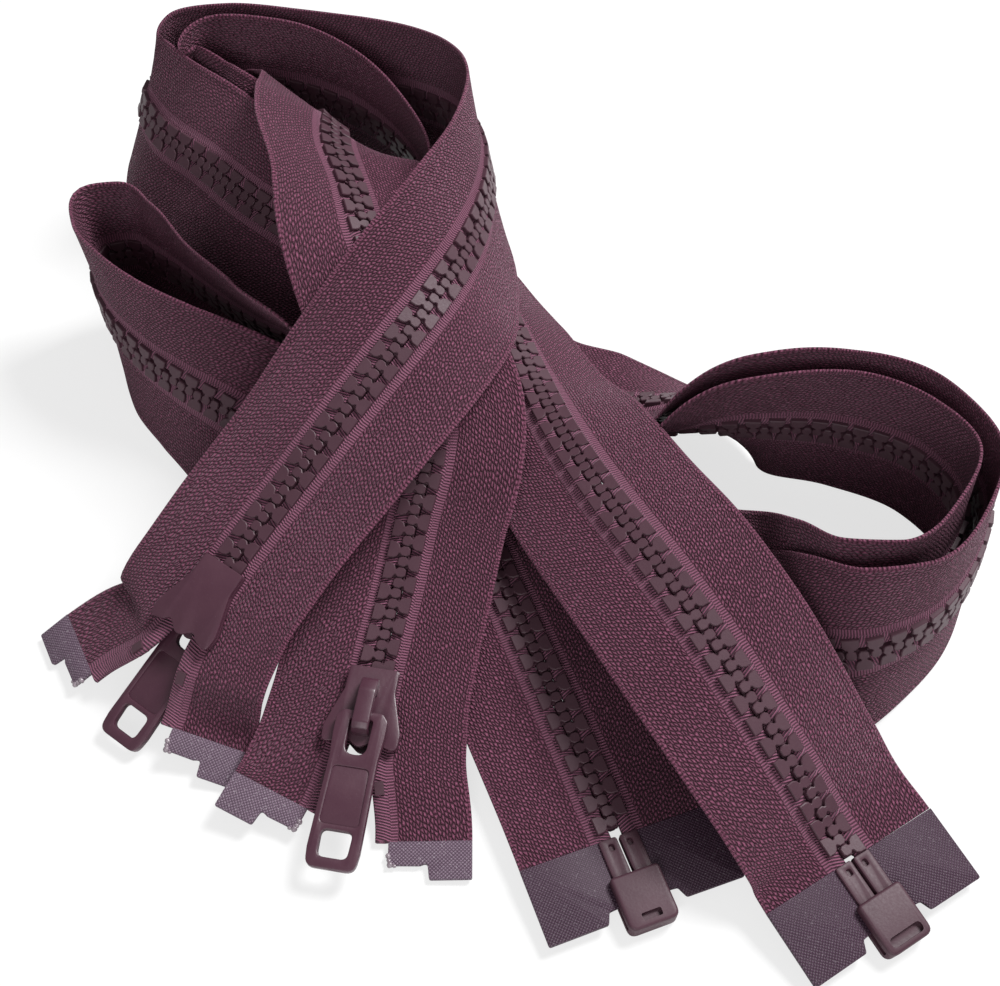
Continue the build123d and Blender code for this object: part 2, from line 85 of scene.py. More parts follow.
ROUTE_2 = [
    (-21.5, -50.3, 6.5, 2, -2), (-19.9, -41.3, 8.4, 3, -3), (-17.2, -29.4, 11.5, 5, -5),
    (-14.7, -18.4, 16.4, 6, -6), (-12.2, -10, 22.5, 3, 0), (-11.8, -2, 27.4, 0, 6),
    (-14, 6, 32.4, 0, 16), (-18.3, 14, 37.2, -3, 22), (-23, 22.5, 42.2, 18, 26),
    (-26.5, 34, 44, 36, 24), (-30.3, 47, 43.3, 36, 20), (-31.2, 53.5, 41.5, 35, 34),
    (-32.4, 61.7, 36.4, 42, 56), (-36.8, 73.2, 27, 62, 76), (-44.5, 78.6, 20.5, 84),
    (-50, 78, 17.5, 86), (-52.3, 74.3, 16.2, 74), (-49.5, 69, 11, 56, 46),
    (-42, 62, 5.2, 16, 18), (-31.5, 52.5, 2, 0), (-22, 36, 1.6, 0), (-13.5, 17, 1.6, 0),
    (-4, 0, 1.6, 0), (7.2, -11.6, 1.6, 0), (24.7, -20.5, 3.2, 8), (38.5, -29.6, 8.2, 30),
    (48.3, -35.6, 13, 54), (56.6, -38.4, 15.8, 72), (64.9, -36, 16.5, 83),
    (73.9, -27.3, 16.7, 86), (78.7, -14.7, 16.7, 88), (73.2, -4.9, 16.7, 88),
    (60.7, 1, 16.7, 88), (44.8, 2.6, 16.5, 76), (30, 6.8, 11, 32), (19, 10.5, 7.8, 6),
    (6, 17.6, 9.2, 4, 10), (-6.8, 26.5, 11.6, -2, 4), (-20.5, 37.5, 15, -12, -8),
    (-33.5, 48.5, 19.2, -30, 0), (-45, 57.6, 23, -41, -18), (-54.4, 66, 25.3, -49),
    (-62, 73, 26.5, -58), (-64.2, 81, 27, -73), (-57.2, 84.8, 28.5, -88),
    (-44.4, 82.9, 29, -92), (-30.6, 77.6, 28, -88), (-19.4, 69, 25.5, -80),
    (-11.8, 57, 22.5, -62, -80), (-9, 50, 21.3, -52, -70), (-6, 43, 20.8, -46, -52),
    (0, 27, 22, -40, -36), (4.8, 12.9, 21, -28, -8), (9.7, -2.2, 22.5, -6, 22),
    (16.6, -18, 24, 0, 30), (25.5, -34.3, 24.5, 9, 20), (33.4, -47.5, 22.5, 9, 12),
    (39.7, -56.8, 18, 4), (46.1, -65.3, 12, 0), (51.4, -71.4, 5.4, 0), (53.5, -74.7, 4.6, 0),
    (60.2, -85.4, 1.9, 0)]
TAIL_1_LEFT = [(-73.2, -43.9, 0.9, 0), (-66.2, -40.2, 5, 4)]
TAIL_1_RIGHT = [(-55.1, -57.9, 3.8, 0), (-52.9, -50.8, 4.8, 14)]
TAIL_2_LEFT = [(-33.4, -71, 1.8, 6), (-29.6, -63.6, 2.9, 9)]
TAIL_2_RIGHT = [(-17.6, -76.6, 0.7, 0), (-17.6, -68, 1.2, -2)]

# The last places of a loose tape in its slider: back from the slider's middle, and outwards
TAIL_ENTRY = ((9.5, 1.6), (6, 0.8), (2.4, 0))
SLIDER_TILT = 2


# ---------------------------------------------------------------- the way each zipper lies
def unit(vectors):
    return vectors / np.linalg.norm(vectors, axis=-1, keepdims=True)


def square(vectors, along):
    return unit(vectors - along * (vectors * along).sum(-1, keepdims=True))


class Route:
    """A smooth path through rounded points, with the directions of the chain and both tapes."""

    def __init__(self, points, shift=PILE_SHIFT):
        places = np.array([p[:3] for p in points], float) * MM + shift
        steps = np.linalg.norm(np.diff(places, axis=0), axis=1)
        travel = unit(np.vstack([places[1] - places[0], places[2:] - places[:-2],
                                 places[-1] - places[-2]]))
        left = self.tilted(travel, [p[3] for p in points])
        right = self.tilted(travel, [p[-1] for p in points])
        values = np.hstack([places, left, right])
        rates = self.rates(values, steps)
        t = (np.arange(16) / 16)[None, :, None]
        h = steps[:, None, None]
        lo, hi, lo_rate, hi_rate = [v[:, None, :] for v in (values[:-1], values[1:],
                                                            rates[:-1], rates[1:])]
        body = (lo * (2 * t**3 - 3 * t**2 + 1) + lo_rate * h * (t**3 - 2 * t**2 + t)
                + hi * (3 * t**2 - 2 * t**3) + hi_rate * h * (t**3 - t**2))
        self.samples = np.vstack([body.reshape(-1, 9), values[-1:]])
        run = np.linalg.norm(np.diff(self.samples[:, :3], axis=0), axis=1)
        self.runs = np.concatenate([[0], np.cumsum(run)])
        self.length = self.runs[-1]

    @staticmethod
    def tilted(travel, tilts):
        level = unit(np.cross([0, 0, 1], travel))
        angle = np.radians(np.array(tilts, float))[:, None]
        return level * np.cos(angle) + np.cross(travel, level) * np.sin(angle)

    @staticmethod
    def rates(values, steps):
        h = steps[:, None]
        gaps = np.diff(values, axis=0)
        inner = (gaps[:-1] * h[1:] / h[:-1] + gaps[1:] * h[:-1] / h[1:]) / (h[:-1] + h[1:])
        return np.vstack([gaps[:1] / h[:1], inner, gaps[-1:] / h[-1:]])

    def read(self, runs):
        return np.array([np.interp(runs, self.runs, column) for column in self.samples.T]).T

    def at(self, runs):
        """Points, travel, the chain's width, and the left and right tape's directions."""
        runs = np.atleast_1d(np.asarray(runs, float))
        here = self.read(runs)
        reach = 0.6 * MM
        ahead = self.read(np.minimum(runs + reach, self.length))[:, :3]
        travel = unit(ahead - self.read(np.maximum(runs - reach, 0))[:, :3])
        left = square(here[:, 3:6], travel)
        right = square(here[:, 6:9], travel)
        return here[:, :3], travel, unit(left + right), left, right

    def seat(self, run, flip=False):
        """A placing matrix in the chain: X along it and Z out of its upper or lower face."""
        point, travel, across, _, _ = [row[0] for row in self.at(run)]
        normal = np.cross(travel, across) * (-1 if flip else 1)
        side = np.cross(normal, travel)
        matrix = Matrix.Identity(4)
        for column, values in enumerate((travel, side, unit(normal), point)):
            for row in range(3):
                matrix[row][column] = values[row]
        return matrix


# ---------------------------------------------------------------- shader maths
class Value:
    """A shader socket that takes part in ordinary arithmetic."""

    def __init__(self, graph, socket):
        self.graph = graph
        self.socket = socket

    def math(self, operation, *others, clamp=False):
        settings = {"operation": operation, "use_clamp": clamp}
        return self.graph.add("ShaderNodeMath", settings, dict(enumerate((self, *others))))

    def __add__(self, other):
        return self.math("ADD", other)

    def __sub__(self, other):
        return self.math("SUBTRACT", other)

    def __mul__(self, other):
        return self.math("MULTIPLY", other)

    def __truediv__(self, other):
        return self.math("DIVIDE", other)

    def __rsub__(self, other):
        return self.graph.add("ShaderNodeMath", {"operation": "SUBTRACT"}, {0: other, 1: self})

    __radd__ = __add__
    __rmul__ = __mul__

    def above(self, edge, soft):
        """0 below the edge and 1 above it, over a soft width."""
        return ((self - (edge - soft / 2)) / soft).math("ADD", 0.0, clamp=True)

    def wave(self, pitch):
        """A rounded rib, 0 to 1, once every pitch."""
        return ((self / pitch) * pi).math("SINE").math("ABSOLUTE")


class Graph:
    """One material's node tree."""

    def __init__(self, name):
        self.material = bpy.data.materials.new(name)
        self.material.use_nodes = True
        self.tree = self.material.node_tree
        self.surface = self.tree.nodes["Principled BSDF"]

    def add(self, kind, settings=None, inputs=None, output=0):
        node = self.tree.nodes.new(kind)
        for key, value in (settings or {}).items():
            setattr(node, key, value)
        for key, value in (inputs or {}).items():
            socket = node.inputs[key]
            if isinstance(value, Value):
                self.tree.links.new(value.socket, socket)
            else:
                socket.default_value = value
        return Value(self, node.outputs[output])

    def weave_map(self):
        """Distance from the cord edge and distance along the tape, in metres."""
        uv = self.add("ShaderNodeUVMap", {"uv_map": "weave"})
        u = self.add("ShaderNodeSeparateXYZ", None, {0: uv})
        return u, Value(self, u.socket.node.outputs[1])

    def noise(self, scale, detail=3.0, place=None, rough=0.5):
        place = place or self.add("ShaderNodeTexCoord", output="Object")
        return self.add("ShaderNodeTexNoise", None,
                        {"Vector": place, "Scale": scale, "Detail": detail, "Roughness": rough})

    def mix(self, factor, a, b):
        return self.add("ShaderNodeMix", {"data_type": "RGBA"}, {0: factor, 6: a, 7: b}, 2)

    def finish(self, colour, roughness, height=None, distance=0.0, strength=1.0, **constants):
        for name, value in (("Base Color", colour), ("Roughness", roughness)):
            socket = self.surface.inputs[name]
            if isinstance(value, Value):
                self.tree.links.new(value.socket, socket)
            else:
                socket.default_value = value
        if height is not None:
            bump = self.add("ShaderNodeBump", None,
                            {"Height": height, "Distance": distance, "Strength": strength})
            self.tree.links.new(bump.socket, self.surface.inputs["Normal"])
        for name, value in constants.items():
            self.surface.inputs[name.replace("_", " ")].default_value = value
        return self.material


def rgba(r, g, b):
    return (r, g, b, 1)


def woven_tape():
    """Twill tape: a corded edge, a ladder of tight ribs, a pebbled field and a ribbed selvedge,
    with painted shade in the weave's hollows and painted highlights on its tops and along the cord.
    """
    g = Graph("woven_tape")
    u, v = g.weave_map()
    wander = g.noise(700, 2.0) - 0.5
    across = u / PEBBLE_WIDTH + wander * 0.35
    along = v / PEBBLE_LENGTH + across * 0.5 + wander * 0.35
    cell = g.add("ShaderNodeCombineXYZ", None, {"X": across, "Y": along})
    pebble = g.add("ShaderNodeTexVoronoi",
                   {"voronoi_dimensions": "2D", "feature": "DISTANCE_TO_EDGE"},
                   {"Vector": cell, "Scale": 1.0, "Randomness": 0.6})
    pebble = (pebble * 2.3).math("MINIMUM", 1.0).math("POWER", 0.8)
    ladder = (v + wander * (0.08 * MM)).wave(0.48 * MM) * 0.65 + 0.2
    cord = (v + u * 0.35).wave(0.5 * MM)
    selvedge = (v + wander * (0.2 * MM)).wave(0.6 * MM) * 0.5 + pebble * 0.5
    in_field = u.above(1.5 * MM, 0.3 * MM)
    in_cord = 1 - u.above(0.35 * MM, 0.1 * MM)
    in_selvedge = u.above(12.5 * MM, 0.3 * MM)
    relief = ladder * (1 - in_field) * (1 - in_cord) + pebble * in_field * (1 - in_selvedge)
    relief = relief + cord * in_cord + selvedge * in_selvedge
    fibre = g.noise(9000, 2.0)
    height = relief * 0.86 + fibre * 0.14
    large = g.noise(60, 2.0)
    # The colour runs by height from a near-black painted shade in the weave's hollows to a painted
    # highlight on the tops of the pebbles, ribs and cord, with a broad random tone.
    painted_crevice_shade = g.mix(large, rgba(0.008, 0.0012, 0.003), rgba(0.014, 0.003, 0.006))
    light = g.mix(large, rgba(0.225, 0.066, 0.122), rgba(0.3, 0.096, 0.17))
    colour = g.mix(height.math("POWER", 1.4), painted_crevice_shade, light)
    # A pale painted highlight along the cord and on the ladder's ribs.
    edge = in_cord * 0.1 + (1 - in_field) * (1 - in_cord) * relief * 0.12
    colour = g.mix(edge, colour, rgba(0.46, 0.28, 0.37))
    return g.finish(colour, 0.8, height, 0.0005, 1.0, Sheen_Weight=0.15, Sheen_Roughness=0.4,
                    Sheen_Tint=rgba(0.85, 0.55, 0.68), Specular_IOR_Level=0.22)


def moulded_resin():
    """Teeth, pins, stops and box: satin acetal resin with a faint moulded texture."""
    g = Graph("moulded_resin")
    broad = g.noise(160, 3.0)
    fine = g.noise(2600, 2.0)
    colour = g.mix(broad, rgba(0.048, 0.017, 0.028), rgba(0.074, 0.031, 0.045))
    return g.finish(colour, 0.42 + fine * 0.2, fine, 0.00003, 0.5, Specular_IOR_Level=0.38)


def enamelled_zinc():
    """Slider and pull: thick satin enamel over cast zinc, worn a little in scattered spots."""
    g = Graph("enamelled_zinc")
    broad = g.noise(220, 3.0)
    peel = g.noise(1500, 2.0)
    scuff = g.noise(5200, 4.0, rough=0.75).above(0.66, 0.06)
    base = g.mix(broad, rgba(0.052, 0.016, 0.03), rgba(0.074, 0.026, 0.042))
    colour = g.mix(scuff * 0.25, base, rgba(0.28, 0.2, 0.24))
    return g.finish(colour, 0.3 + broad * 0.18, peel, 0.00004, 0.6, Coat_Weight=0.15,
                    Coat_Roughness=0.25, Specular_IOR_Level=0.5)


def sealing_film(name, grounds, thread, haze):
    """Clear film fused over the weave, cross-hatched, with pale melted specks."""
    g = Graph(name)
    u, v = g.weave_map()
    hatch = (u + v).wave(0.6 * MM) * (u - v).wave(0.6 * MM)
    speck = g.noise(3200, 2.0).above(0.66, 0.06)
    cloud = g.noise(240, 3.0)
    ground = g.mix(cloud, *[rgba(*colour) for colour in grounds])
    colour = g.mix(hatch.math("POWER", 0.8), ground, rgba(*thread))
    colour = g.mix(speck * haze, colour, rgba(0.55, 0.5, 0.54))
    return g.finish(colour, 0.5 + speck * 0.15, hatch, 0.00012, 0.7, Coat_Weight=0.06,
                    Coat_Roughness=0.35, Specular_IOR_Level=0.28)


def melted_bead():
    """Where the cord's filament was melted to a whitish bead."""
    g = Graph("melted_bead")
    cloud = g.noise(1200, 3.0)
    colour = g.mix(cloud, rgba(0.16, 0.11, 0.14), rgba(0.42, 0.36, 0.4))
    return g.finish(colour, 0.22 + cloud * 0.2, cloud, 0.0001, 0.6, Transmission_Weight=0.15,
                    Coat_Weight=0.4, Coat_Roughness=0.1)


TAPE = woven_tape()
RESIN = moulded_resin()
ENAMEL = enamelled_zinc()
FILM = sealing_film("sealing_film", ((0.02, 0.007, 0.015), (0.038, 0.016, 0.03)),
                    (0.07, 0.036, 0.062), 0.12)
PALE_FILM = sealing_film("pale_sealing_film", ((0.036, 0.017, 0.033), (0.075, 0.046, 0.069)),
                         (0.19, 0.13, 0.178), 0.35)
BEAD = melted_bead()


# ---------------------------------------------------------------- mesh helpers
def new_object(name, mesh, material, smooth=40):
    mesh.name = name
    piece = bpy.data.objects.new(name, mesh)
    bpy.context.scene.collection.objects.link(piece)
    mesh.materials.clear()
    mesh.materials.append(material)
    mesh.shade_smooth()
    if smooth:
        mesh.set_sharp_from_angle(angle=radians(smooth))
    return piece


def baked(source):
    """The plain mesh of an object with its modifiers, with the object itself removed."""
    bpy.context.view_layer.update()
    evaluated = source.evaluated_get(bpy.context.evaluated_depsgraph_get())
    mesh = bpy.data.meshes.new_from_object(evaluated)
    data = source.data
    bpy.data.objects.remove(source)
    if data.users == 0 and isinstance(data, bpy.types.Curve):
        bpy.data.curves.remove(data)
    return mesh


def joined(meshes):
    whole = bmesh.new()
    for mesh in meshes:
        whole.from_mesh(mesh)
    result = bpy.data.meshes.new("joined")
    whole.to_mesh(result)
    whole.free()
    return result


def rounded(corners, steps=5):
    """A closed outline whose corners (x, y, radius) are rounded."""
    outline = []
    count = len(corners)
    for i, (x, y, radius) in enumerate(corners):
        here = Vector((x, y))
        back = Vector(corners[i - 1][:2]) - here
        ahead = Vector(corners[(i + 1) % count][:2]) - here
        if radius <= 0:
            outline.append((x, y))
            continue
        half = back.angle(ahead) / 2
        cut = min(radius / tan(half), back.length * 0.49, ahead.length * 0.49)
        start = here + back.normalized() * cut
        end = here + ahead.normalized() * cut
        for k in range(steps + 1):
            t = k / steps
            spot = start * (1 - t)**2 + here * 2 * t * (1 - t) + end * t**2
            outline.append((spot.x, spot.y))
    return outline


def plate(outlines, thickness, edge, place=Matrix.Identity(4), segments=2):
    """A flat piece in millimetres, cut from its outline and holes, with rounded edges."""
    curve = bpy.data.curves.new("plate", "CURVE")
    curve.dimensions = "2D"
    curve.fill_mode = "BOTH"
    for outline in outlines:
        spline = curve.splines.new("POLY")
        spline.points.add(len(outline) - 1)
        for point, (x, y) in zip(spline.points, outline):
            point.co = (x * MM, y * MM, 0, 1)
        spline.use_cyclic_u = True
    curve.extrude = (thickness / 2 - edge) * MM
    curve.bevel_depth = edge * MM
    curve.bevel_resolution = segments - 1
    curve.offset = -edge * MM
    source = bpy.data.objects.new("plate", curve)
    bpy.context.scene.collection.objects.link(source)
    mesh = baked(source)
    work = bmesh.new()
    work.from_mesh(mesh)
    bmesh.ops.remove_doubles(work, verts=work.verts, dist=1e-7)
    bmesh.ops.recalc_face_normals(work, faces=work.faces)
    bmesh.ops.transform(work, matrix=place, verts=work.verts)
    work.to_mesh(mesh)
    work.free()
    return mesh


def lifted(z):
    return Matrix.Translation((0, 0, z * MM))


def upright(y):
    """Stands a flat outline up, so that its Y becomes height."""
    return Matrix.Translation((0, y * MM, 0)) @ Matrix.Rotation(pi / 2, 4, "X")


# ---------------------------------------------------------------- tapes
# Half of the tape's section: distance from the cord edge and half thickness, in millimetres
TAPE_SECTION = [(-2.1, 0.3), (-1.9, 0.5), (-0.9, 0.6), (-0.5, 0.62), (-0.15, 0.5), (0.05, 0.34),
                (0.3, 0.4), (0.5, 0.33), (0.8, 0.28), (1.6, 0.3),
                (2.4, 0.28), (2.7, 0.31), (5.0, 0.31), (8.0, 0.31), (11.4, 0.3), (11.7, 0.25),
                (11.95, 0.31), (12.6, 0.32), (13.0, 0.26), (13.2, 0.1)]


def lay_tape(name, start_v, edge, outwards, normal, run):
    """A closed woven strip along its cord edge, with its own map of width and length."""
    section = TAPE_SECTION + [(u, -h) for u, h in reversed(TAPE_SECTION)]
    u = np.array([s[0] for s in section]) * MM
    h = np.array([s[1] for s in section]) * MM
    v = start_v + run
    ripple = 0.2 * MM * (np.sin(v / (7.9 * MM)) + 0.8 * np.sin(v / (3.7 * MM) + 2.1))
    lift = h[None, :] + ripple[:, None] * (u / TAPE_WIDTH)[None, :]**2
    spots = (edge[:, None, :] + outwards[:, None, :] * u[None, :, None]
             + normal[:, None, :] * lift[:, :, None])
    rows, count = len(edge), len(section)
    index = np.arange(rows * count).reshape(rows, count)
    nxt = np.roll(index, -1, axis=1)
    quads = np.stack([index[:-1], nxt[:-1], nxt[1:], index[1:]], axis=-1).reshape(-1, 4)
    faces = quads.tolist() + [index[0, ::-1].tolist(), index[-1].tolist()]
    mesh = bpy.data.meshes.new(name)
    mesh.from_pydata(spots.reshape(-1, 3).tolist(), [], faces)
    layer = mesh.uv_layers.new(name="weave")
    corner = np.zeros(len(mesh.loops), int)
    mesh.loops.foreach_get("vertex_index", corner)
    flat = np.stack([np.tile(u, rows), np.repeat(v, count)], axis=-1)
    layer.data.foreach_set("uv", flat[corner].reshape(-1).astype(np.float32))
    work = bmesh.new()
    work.from_mesh(mesh)
    bmesh.ops.recalc_face_normals(work, faces=work.faces)
    work.to_mesh(mesh)
    work.free()
    return new_object(name, mesh, TAPE, 70)


def edge_rows(route, runs, side, inner):
    """The cord edge, outward direction and normal of one tape."""
    point, travel, across, left, right = route.at(runs)
    toward = left if side > 0 else right
    return point + across * side * inner, toward * side, np.cross(travel, toward)


# ---------------------------------------------------------------- teeth
def tooth_mesh():
    """One moulded tooth of the left row: block, neck and head in one outline, and a thin tongue."""
    half = [(1.45, 2.95), (1.4, 1.8), (1.08, 1.24), (0.52, 0.98), (0.5, 0.78), (0.86, 0.4),
            (0.84, -0.42), (0.5, -0.86)]
    outline = [(-x, y) for x, y in half] + half[::-1]
    tongue = [(-0.93, -0.8), (0.93, -0.8), (0.93, 2.6), (-0.93, 2.6)]
    return joined([plate([outline], 2.46, 0.13, segments=1),
                   plate([tongue], 1.1, 0.06, segments=1)])


def tooth_row_tree():
    """Geometry Nodes: one tooth on every point, turned by the point and set a little unevenly."""
    tree = bpy.data.node_groups.new("tooth_row", "GeometryNodeTree")
    face = tree.interface
    face.new_socket("Geometry", in_out="INPUT", socket_type="NodeSocketGeometry")
    face.new_socket("Tooth", in_out="INPUT", socket_type="NodeSocketObject")
    face.new_socket("Unevenness", in_out="INPUT", socket_type="NodeSocketFloat")
    face.new_socket("Resin", in_out="INPUT", socket_type="NodeSocketMaterial")
    face.new_socket("Geometry", in_out="OUTPUT", socket_type="NodeSocketGeometry")
    make = tree.nodes.new
    link = tree.links.new
    given = make("NodeGroupInput")
    result = make("NodeGroupOutput")
    tooth = make("GeometryNodeObjectInfo")
    turn = make("GeometryNodeInputNamedAttribute")
    turn.data_type = "FLOAT_VECTOR"
    turn.inputs["Name"].default_value = "turn"
    chance = make("FunctionNodeRandomValue")
    chance.data_type = "FLOAT_VECTOR"
    chance.inputs["Min"].default_value = (-1, -1, -1)
    chance.inputs["Max"].default_value = (1, 1, 1)
    chance.inputs["Seed"].default_value = 7
    scaled = make("ShaderNodeVectorMath")
    scaled.operation = "SCALE"
    total = make("ShaderNodeVectorMath")
    total.operation = "ADD"
    placed = make("GeometryNodeInstanceOnPoints")
    real = make("GeometryNodeRealizeInstances")
    finish = make("GeometryNodeSetMaterial")
    link(given.outputs["Tooth"], tooth.inputs["Object"])
    link(chance.outputs["Value"], scaled.inputs[0])
    link(given.outputs["Unevenness"], scaled.inputs["Scale"])
    link(turn.outputs["Attribute"], total.inputs[0])
    link(scaled.outputs[0], total.inputs[1])
    link(given.outputs["Geometry"], placed.inputs["Points"])
    link(tooth.outputs["Geometry"], placed.inputs["Instance"])
    link(total.outputs[0], placed.inputs["Rotation"])
    link(placed.outputs["Instances"], real.inputs["Geometry"])
    link(real.outputs["Geometry"], finish.inputs["Geometry"])
    link(given.outputs["Resin"], finish.inputs["Material"])
    link(finish.outputs["Geometry"], result.inputs["Geometry"])
    return tree


TOOTH = new_object("tooth_pattern", tooth_mesh(), RESIN, 35)
TOOTH_TREE = tooth_row_tree()


def tooth_row(name, route, side, start, end):
    """The teeth of one row between two places along the chain."""
    first = CHAIN_START + (0 if side > 0 else TOOTH_PITCH / 2)
    runs = np.arange(first, end, TOOTH_PITCH)
    runs = runs[runs >= start]
    points = bpy.data.meshes.new("tooth_points")
    seats = [route.seat(run) @ Matrix.Rotation(0 if side > 0 else pi, 4, "Z") for run in runs]
    points.from_pydata([seat.translation for seat in seats], [], [])
    turn = points.attributes.new("turn", "FLOAT_VECTOR", "POINT")
    for item, seat in zip(turn.data, seats):
        item.vector = seat.to_euler("XYZ")
    source = bpy.data.objects.new("tooth_points", points)
    bpy.context.scene.collection.objects.link(source)
    rows = source.modifiers.new("rows", "NODES")
    rows.node_group = TOOTH_TREE
    inputs = {item.name: item.identifier for item in TOOTH_TREE.interface.items_tree
              if item.in_out == "INPUT"}
    rows[inputs["Tooth"]] = TOOTH
    rows[inputs["Unevenness"]] = radians(1.2)
    rows[inputs["Resin"]] = RESIN
    return new_object(name, baked(source), RESIN, 0)


# ---------------------------------------------------------------- slider and pull
# Heights above the middle of the chain, in millimetres
CAVITY = 1.32
PLATE_TOP = 2.22
PIVOT_HEIGHT = 3.11
BRIDGE_UNDER = 4.0
BRIDGE_TOP = 5.1


def slider_body(place):
    """Two shield-shaped plates with a scalloped mouth, joined by side walls and a wedge."""
    shield = rounded([(7, -4.1, 0.7), (7, 4.1, 0.7), (3, 4.15, 2.5), (-3.6, 6.3, 3.5),
                      (-6.6, 6.2, 1.4), (-5.9, 3.6, 1.2), (-4.9, 2.5, 1.0), (-6.9, 0, 1.6),
                      (-4.9, -2.5, 1.0), (-5.9, -3.6, 1.2), (-6.6, -6.2, 1.4),
                      (-3.6, -6.3, 3.5), (3, -4.15, 2.5)])
    wall = [(7, 4.1, 0.3), (3, 4.15, 2.5), (-3.6, 6.3, 2.5), (-5.8, 6.2, 0.4),
            (-5.8, 5.3, 0.4), (-3.6, 5.4, 2.5), (3, 3.25, 2.5), (7, 3.2, 0.3)]
    walls = [rounded(wall, 4), rounded([(x, -y, r) for x, y, r in reversed(wall)], 4)]
    wedge = rounded([(-5.6, 0, 0.5), (-3.8, 1.05, 1.5), (-2.1, 0, 0.3), (-3.8, -1.05, 1.5)], 4)
    parts = []
    for sign in (1, -1):
        parts.append(plate([shield], 0.9, 0.22, lifted(sign * (CAVITY + 0.45))))
        parts += [plate([outline], 0.75, 0.08, lifted(sign * 1.0)) for outline in walls]
    parts.append(plate([wedge], 2 * CAVITY + 0.1, 0.05))
    mesh = joined(parts)
    mesh.transform(place)
    return mesh


def slider_bridge(place):
    """The bar that arches lengthways over the front plate and holds the pull."""
    side = rounded([(-4.7, PLATE_TOP - 0.1, 0), (-4.7, 3.6, 0.4), (-4.2, BRIDGE_TOP - 0.5, 0.6),
                    (-3.2, BRIDGE_TOP, 0.9), (2.2, BRIDGE_TOP, 1.6), (4.7, 3.9, 1.4),
                    (4.8, PLATE_TOP - 0.1, 0), (2.1, PLATE_TOP - 0.1, 0),
                    (1.8, BRIDGE_UNDER - 0.4, 0.5), (-3.6, BRIDGE_UNDER, 0.2),
                    (-3.8, PLATE_TOP - 0.1, 0)])
    mesh = plate([side], 2.8, 0.3, upright(0))
    mesh.transform(place)
    return mesh


def pull_tab(place):
    """The pull: two arms round the bridge, a sunken panel and a window by its rounded end."""
    near, far = -1.1, -26.55
    outline = rounded([(near, -3.2, 0.7), (near, 3.2, 0.7), (near - 1.2, 4.2, 0.9),
                       (near - 4, 4.2, 4), (near - 8, 3.9, 4), (far + 3, 4.2, 1),
                       (far, 3.9, 2.3), (far, -3.9, 2.3), (far + 3, -4.2, 1),
                       (near - 8, -3.9, 4), (near - 4, -4.2, 4), (near - 1.2, -4.2, 0.9)])
    eye = rounded([(near - 1.3, -1.85, 0.5), (near - 1.3, 1.85, 0.5), (near - 7.2, 1.75, 1.6),
                   (near - 7.2, -1.75, 1.6)])
    window = rounded([(far + 6, -2.5, 1.0), (far + 6, 2.5, 1.0), (far + 1.75, 2.35, 1.1),
                      (far + 1.75, -2.35, 1.1)])
    panel = rounded([(near - 9.3, -2.9, 0.8), (near - 9.3, 2.9, 0.8), (far + 6.9, 3.1, 0.8),
                     (far + 6.9, -3.1, 0.8)])
    core = plate([outline, eye, panel, window], 1.5, 0.25, lifted(PIVOT_HEIGHT))
    floor = plate([panel_grown(panel)], 1.0, 0.05, lifted(PIVOT_HEIGHT))
    mesh = joined([core, floor])
    mesh.transform(place)
    return mesh


def panel_grown(outline, amount=0.3):
    centre = np.mean(outline, axis=0)
    return [tuple(centre + (np.array(p) - centre) * (1 + amount / 3.5)) for p in outline]


# ---------------------------------------------------------------- box end
def box_body(place, slot_window):
    """The box: a rounded block with the pins' sockets in its back and a hole in its face."""
    outer = rounded([(2.5, -4.1, 1.4), (2.5, 4.1, 1.4), (-6.3, 4.1, 0.8), (-6.3, -4.1, 0.8)])
    source = new_object("box_blank", plate([outer], 3.5, 0.5, segments=3), RESIN)
    if slot_window:
        cut = rounded([(1.6, -3.0, 0.78), (1.6, 3.0, 0.78), (0.0, 3.0, 0.78), (0.0, -3.0, 0.78)])
    else:
        cut = rounded([(1.5, -1.6, 0.3), (1.5, 1.6, 0.3), (0.3, 1.6, 0.3), (0.3, -1.6, 0.3)])
    tools = [new_object("box_window", plate([cut], 1.6, 0.05, lifted(1.75)), RESIN)]
    for side in (1, -1):
        socket = rounded([(-0.8, side * 0.35, 0), (-0.8, side * 2.75, 0),
                          (-7, side * 2.75, 0), (-7, side * 0.35, 0)])
        tools.append(new_object("pin_socket", plate([socket], 1.82, 0.01), RESIN))
        slot = rounded([(1.5, side * 2.8, 0), (1.5, side * 9, 0), (-7, side * 9, 0),
                        (-7, side * 2.8, 0)])
        tools.append(new_object("film_slot", plate([slot], 1.0, 0.01), RESIN))
    for tool in tools:
        cutter = source.modifiers.new("cut", "BOOLEAN")
        cutter.operation = "DIFFERENCE"
        cutter.solver = "EXACT"
        cutter.object = tool
    mesh = baked(source)
    for tool in tools:
        bpy.data.objects.remove(tool)
    mesh.transform(place)
    return mesh


def pin_body(place, side):
    """A pin: a flat bar beside the last teeth, with a small round hole near its top."""
    low, high = 0.22 * side, 3.3 * side
    bar = rounded([(-12.5, low, 0.5), (-12.5, high, 0.5), (-1.7, high, 0.4),
                   (-0.9, high - 0.6 * side, 0.3), (-0.9, low + 0.6 * side, 0.3), (-1.7, low, 0.4)])
    hole = rounded([(-11.5, 1.15 * side, 0.3), (-11.5, 1.95 * side, 0.3),
                    (-10.5, 1.95 * side, 0.3), (-10.5, 1.15 * side, 0.3)])
    floor = rounded([(-12, low, 0), (-12, high, 0), (-2, high, 0), (-2, low, 0)])
    mesh = joined([plate([bar, hole], 1.7, 0.25), plate([floor], 0.6, 0.05)])
    mesh.transform(place)
    return mesh


